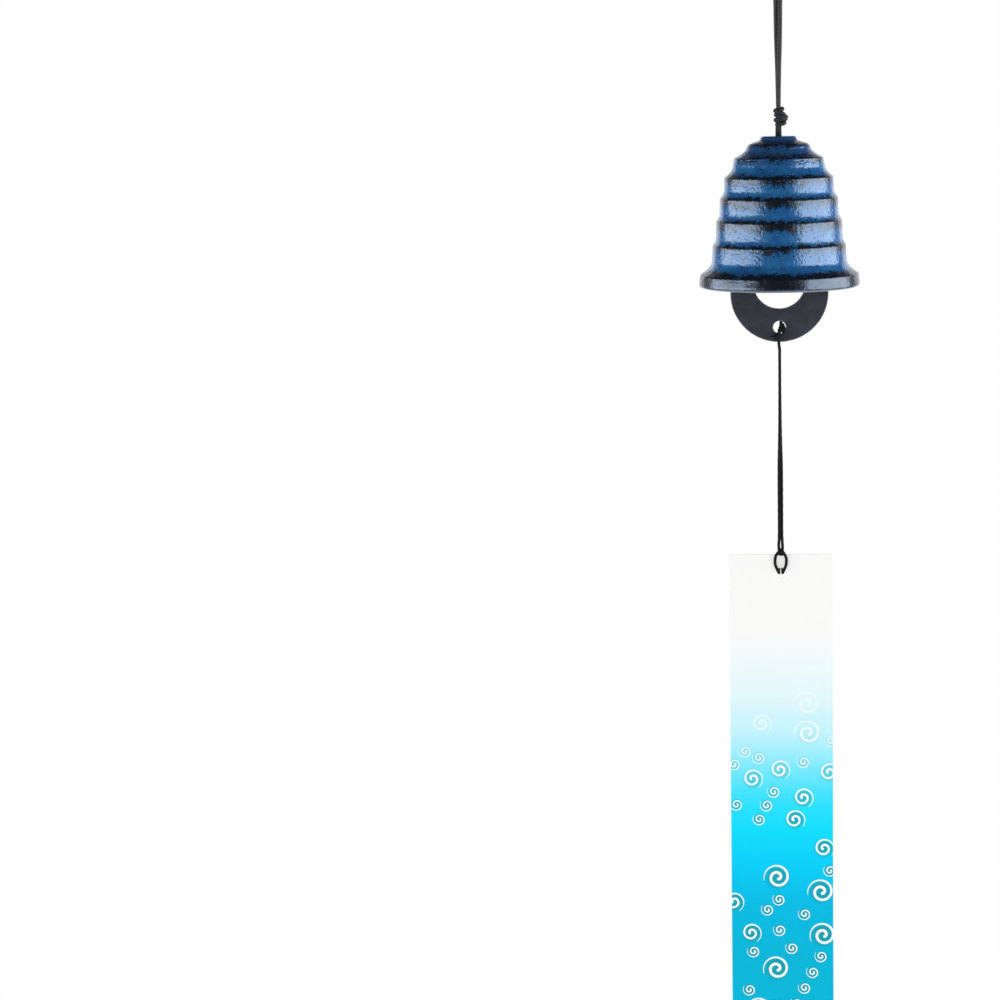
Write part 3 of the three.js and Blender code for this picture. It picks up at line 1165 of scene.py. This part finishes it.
    def roughen(self, shape: Shape) -> None:
        """Push the outside in and out by the casting's unevenness, coarse and fine.

        Args:
            shape: The turned mesh.
        """
        inside = shape.verts.layers.float["inside"]
        shape.normal_update()
        moves = []
        for vert in shape.verts:
            share = self.inside_share if vert[inside] > 0.5 else 1.0
            height = 0.0
            for size, amount in self.unevenness:
                height += amount * noise.noise(vert.co / size + Vector((size, 7.3, 1.9)))
            moves.append(vert.normal * height * share)
        for vert, move in zip(shape.verts, moves):
            vert.co += move


# The clapper and its cord


@dataclass
class ClapperLine:
    """The doubled cord inside the bell and its tie round the clapper's top bar."""

    braid: Material
    strand: Route = ((0, -0.75, -76.31), (0, -0.75, -102.3))
    tie_side: Route = (
        (0, -0.6, -104.7), (0, -2.2, -106.2), (0, -2.95, -108.65), (0, -2.95, -110.25),
        (0, -2.3, -112.55),
    )
    tie_foot: Point = (0, 0, -113.35)
    tie_turns: tuple[Turn, ...] = (
        Turn((0, 0, -103.7), 1.15, lean=8),
        Turn((0, 0, -105.05), 1.3, lean=-2.8),
    )
    tie_strand: Route = ((0, -0.75, -102.4), (0, -0.6, -105.7))

    def build(self) -> None:
        """Make both pieces and fasten them to the frame."""
        shape = bmesh.new()
        BRAID.run(shape, self.strand, flipped(self.strand, 1, -1))
        body = "clapper_line"
        make_piece(shape, "clapper_strands", self.braid, "clapper_cord", body)
        shape = bmesh.new()
        BRAID.run(shape, (*self.tie_side, self.tie_foot, *flipped(reversed(self.tie_side), 1, -1)))
        BRAID.wind(shape, self.tie_turns)
        BRAID.run(shape, self.tie_strand, flipped(self.tie_strand, 1, -1))
        make_piece(shape, "clapper_tie_cord", self.braid, "clapper_tie", body)


@dataclass
class Clapper:
    """The iron ring plate, with its big hole above its middle and a small hole below."""

    iron: Material
    centre: float = -125.5
    thickness: float = 2.3
    edge: float = 0.45
    edge_steps: int = 3
    corner_angle: float = 1.0
    wear_inset: float = 0.03
    # Rise over the centre, radius and segments of the rim, the big hole and the tail's hole
    circles: tuple[tuple[float, float, int], ...] = (
        (0.0, 18.3, 144),
        (3.8, 9.6, 96),
        (-12.8, 2.4, 48),
    )

    def build(self) -> None:
        """Make the plate and fasten it to the frame."""
        shape = bmesh.new()
        for rise, radius, segments in self.circles:
            made = bmesh.ops.create_circle(shape, cap_ends=False, segments=segments, radius=radius)
            bmesh.ops.translate(shape, vec=(0, rise, 0), verts=made["verts"])
        bmesh.ops.triangle_fill(shape, use_beauty=True, edges=shape.edges[:])
        self.round_edges(shape)
        stand_up(shape, (0, 0, -self.thickness / 2), self.centre)
        make_piece(
            shape, "clapper_plate", self.iron, "clapper", "clapper", sharp=40.0
        )

    def round_edges(self, shape: Shape) -> None:
        """Give the filled outline its thickness and rounded, worn edges.

        Args:
            shape: The flat mesh.
        """
        wear = shape.verts.layers.float.new("wear")
        thicken(shape, self.thickness)
        bmesh.ops.recalc_face_normals(shape, faces=shape.faces[:])
        corners = [edge for edge in shape.edges if edge.calc_face_angle(0) > self.corner_angle]
        made = bmesh.ops.bevel(
            shape,
            geom=corners,
            offset=self.edge,
            offset_type="OFFSET",
            segments=self.edge_steps,
            profile=0.5,
            affect="EDGES",
            material=-1,
        )
        for vert in made["verts"]:
            inner = self.wear_inset < vert.co.z < self.thickness - self.wear_inset
            vert[wear] = 1.0 if inner else 0.0


# The tail


@dataclass
class Tail:
    """The thin doubled cord under the clapper, with its knot above and the strip's hitch below."""

    cord: Material
    bend: Span = (-150.0, -215.0)
    strand: Route = (
        (0, -0.5, -148.6), (0, -0.5, -156), (-0.05, -0.5, -166), (-0.15, -0.48, -176),
        (-0.3, -0.42, -184), (-0.46, -0.28, -190), (-0.5, -0.15, -195.5),
        (-0.5, -0.12, -202.5), (-0.5, -0.12, -209.5), (-0.49, -0.1, -215.5),
        (-0.58, -0.05, -219.2), (-0.72, 0, -221.6), (-0.6, 0, -223.3),
    )
    face_strand: Route = (
        (0.2, -0.5, -138.3), (0.1, -1.6, -139.1), (-0.15, -2.05, -140.8),
        (-0.3, -2.05, -143.3), (-0.2, -1.85, -145.1), (0, -1.1, -146.7), (0, -0.5, -147.7),
        (0, -0.5, -149.1),
    )
    knot_turns: tuple[Turn, ...] = (
        Turn((0.6, 0, -137.45), 1.0, lean=84, roll=6),
        Turn((1.45, 0, -138.1), 0.9, lean=70, roll=-10),
        Turn((1.15, 0, -138.8), 1.05, lean=30, roll=20),
        Turn((1.2, 0, -139.2), 0.9, lean=-24, roll=-25),
        Turn((0.5, 0, -139.6), 0.75, lean=12, roll=-10),
    )
    loose_end: Route = (
        (0.2, -0.9, -139.5), (-0.7, -1.5, -140.2), (-1.3, -1.5, -141.2),
        (-2.4, -1.45, -141.7), (-3.4, -1.42, -141.6),
    )
    hitch_side: Route = (
        (-0.6, 0.3, -223.15), (-0.64, 1.1, -225.3), (-0.66, 1.1, -229.6),
        (-0.68, 0.75, -231.5), (-0.68, 0, -231.9), (-0.8, -0.8, -231.5),
        (-1.35, -1.1, -230.4), (-2.1, -1.1, -228.1), (-2.0, -1.1, -225.8),
        (-1.1, -1.1, -224.0),
    )
    hitch_middle: Point = (0, -1.1, -223.35)
    hitch_turns: tuple[Turn, ...] = (
        Turn((0, 0, -223.15), 0.72, lean=10),
        Turn((0, 0, -223.9), 0.72, lean=-12),
        Turn((0, 0, -224.65), 0.72, lean=8),
    )
    hitch_strand: Route = ((-0.74, 0, -221.75), (-0.5, 0, -223.65))

    def build(self) -> None:
        """Make the knot, both strands and the hitch, and fasten them to the frame."""
        on_it = [self.make_knot(), self.make_hitch()]
        for name, points, pieces in (
            ("tail_strand_front", self.strand, on_it),
            ("tail_strand_back", flipped(self.strand, -1, -1), []),
        ):
            FreeCord(
                name, WAXED, self.cord, points, "tail_cord", Slot.THIN_CORD,
                bodies=("tail", "tail_line"), bend=self.bend,
            ).build(pieces)

    def make_knot(self) -> Object:
        """Knot the tail in the clapper's small hole, with a strand down each face."""
        shape = bmesh.new()
        WAXED.run(shape, self.face_strand, flipped(self.face_strand, 1, -1))
        WAXED.wind(shape, self.knot_turns)
        FRAYED.run(shape, self.loose_end)
        return make_piece(shape, "tail_hitch_cord", self.cord, "tail_hitch", "tail")

    def make_hitch(self) -> Object:
        """Pass the cord's end through the strip's hole and over itself."""
        shape = bmesh.new()
        other_side = flipped(reversed(self.hitch_side), -1, 1)
        WAXED.run(shape, (*self.hitch_side, self.hitch_middle, *other_side))
        WAXED.wind(shape, self.hitch_turns)
        WAXED.run(shape, self.hitch_strand, flipped(self.hitch_strand, -1, 1))
        hitch = make_piece(
            shape, "strip_hitch_cord", self.cord, "strip_hitch", "strip"
        )
        # The paper round the hitch is evenly lit
        hitch.visible_shadow = False
        return hitch


# The paper strip


@dataclass(frozen=True)
class Spiral:
    """One printed spiral: its size, where its tail ends in degrees, its hand and its middle."""

    radius: float
    tail: float
    hand: int
    x: float = 0.0
    drop: float = 0.0

    def gap(self, x: float, drop: float) -> float:
        """Measure how far outside the spiral a point lies."""
        return math.hypot(x - self.x, drop - self.drop) - self.radius


@dataclass
class PaperStrip:
    """The stiff paper strip that catches the wind, with its punched hole and its print."""

    paper: Material
    width: float = 39.0
    length: float = 180.0
    thickness: float = 0.4
    hole_radius: float = 1.9
    hole_drop: float = 7.1
    cell: float = 0.5
    motifs: tuple[Spiral, ...] = (
        Spiral(5.3, 205.0, 1),
        Spiral(4.1, -55.0, -1),
        Spiral(2.6, 140.0, -1),
    )
    print_from: float = 54.0
    side_bleed: float = 1.0
    foot_bleed: float = 3.0
    gap: float = 0.5
    wobble: float = 10.0
    large_count: int = 19
    tries: int = 5
    chain_count: int = 16
    chain_inset: float = 4.0
    chain_slope: Span = (35.0, 65.0)
    chain_step: Span = (6.0, 7.2)
    chain_lengths: tuple[int, ...] = (2, 3, 3, 4)
    seed: int = 11

    def build(self) -> None:
        """Make the strip and fasten it to the frame."""
        shape = bmesh.new()
        self.cut_sheet(shape)
        self.place_print(shape, self.lay_out())
        make_piece(
            shape, "paper_strip_print", self.paper, "paper_strip", "strip", sharp=40.0
        )

    def cut_sheet(self, shape: Shape) -> None:
        """Cut the strip, punch its hole and give it its thickness.

        Args:
            shape: The empty mesh that takes it.
        """
        across = round(self.width / self.cell)
        down = round(self.length / self.cell)
        made = bmesh.ops.create_grid(shape, x_segments=across, y_segments=down, size=0.5)["verts"]
        bmesh.ops.scale(shape, vec=(self.width, self.length, 1), verts=made)
        hole = Vector((0, self.length / 2 - self.hole_drop, 0))
        inner = [
            face for face in shape.faces
            if (face.calc_center_median() - hole).length < self.hole_radius
        ]
        rim = {vert for face in inner for vert in face.verts}
        bmesh.ops.delete(shape, geom=inner, context="FACES")
        for vert in (vert for vert in rim if vert.is_valid):
            vert.co = hole + (vert.co - hole).normalized() * self.hole_radius
        thicken(shape, self.thickness)
        stand_up(shape, (0, -self.length / 2, -self.thickness / 2), STRIP_TOP)

    def lay_out(self) -> list[Spiral]:
        """Scatter the large spirals and run short chains of small ones between them.

        Returns:
            Spirals that keep clear of each other.
        """
        draw = random.Random(self.seed)
        spirals: list[Spiral] = []
        half, lowest = self.width / 2, self.length + self.foot_bleed

        def room(x: float, drop: float, radius: float) -> float:
            """Measure the gap between a new spiral and the nearest one."""
            return min((other.gap(x, drop) - radius for other in spirals), default=FAR)

        def place(x: float, drop: float, motif: Spiral) -> None:
            """Add a spiral where it fits."""
            tail = motif.tail + draw.uniform(-self.wobble, self.wobble)
            shown = self.print_from < drop < lowest and abs(x) < half + self.side_bleed
            if shown and room(x, drop, motif.radius) > self.gap:
                spirals.append(replace(motif, tail=tail, x=x, drop=drop))

        for index in range(self.large_count):
            motif = self.motifs[0 if index % 5 in (0, 2) else 1]
            spots = [
                (draw.uniform(-half, half), draw.uniform(self.print_from, lowest))
                for _ in range(self.tries)
            ]
            place(*max(spots, key=lambda spot: room(*spot, motif.radius)), motif)
        for _ in range(self.chain_count):
            x = draw.uniform(-half, half)
            drop = draw.uniform(self.print_from + self.chain_inset, lowest)
            slope = math.radians(draw.uniform(*self.chain_slope))
            for _ in range(draw.choice(self.chain_lengths)):
                place(x, drop, self.motifs[2])
                step = draw.uniform(*self.chain_step)
                x -= step * math.cos(slope)
                drop += step * math.sin(slope)
        log.info("print: %d spirals", len(spirals))
        return spirals

    def place_print(self, shape: Shape, spirals: list[Spiral]) -> None:
        """Give every face the place of the nearest spiral's middle in its UV map.

        Args:
            shape: The finished strip.
            spirals: The spirals to print.
        """
        uv = shape.loops.layers.uv.new("spirals")
        for face in shape.faces:
            middle = face.calc_center_median()
            drop = STRIP_TOP - middle.z
            nearest = min(spirals, key=lambda spiral: spiral.gap(middle.x, drop))
            turn = math.radians(-nearest.tail if nearest.hand > 0 else nearest.tail - 180)
            cos, sin = math.cos(turn), math.sin(turn)
            for loop in face.loops:
                right = (loop.vert.co.x - nearest.x) / nearest.radius * nearest.hand
                up = (nearest.drop - STRIP_TOP + loop.vert.co.z) / nearest.radius
                loop[uv].uv = (right * cos - up * sin, right * sin + up * cos)


def main() -> None:
    """Build the studio and every piece in order."""
    logging.basicConfig(level=logging.INFO, format="%(name)s %(message)s")
    Studio().build()
    braided = YarnCord(BRAID, crown="454651", groove_shade="0e0f15")
    # The loop's crowns and grooves are painted lighter than the rest of the braid, as a painted highlight
    lightened = replace(braided, crown="5f5e64", groove_shade="17181c")
    waxed = YarnCord(WAXED, crown="17181a", groove_shade="070708", roughness=0.65, sheen=0.02, index=1.25)
    braid = braided.make("braided_polyester_cord")
    Hanger(braid, lightened.make("highlit_polyester_cord")).build()
    Tail(waxed.make("waxed_twisted_cord")).build()
    Bell(PaintedCastIron().make("lacquered_sand_cast_iron")).build()
    ClapperLine(braid).build()
    Clapper(BlackenedIron().make("blackened_cast_iron")).build()
    PaperStrip(PrintedPaper().make("printed_card")).build()


if __name__ == "__main__":
    main()
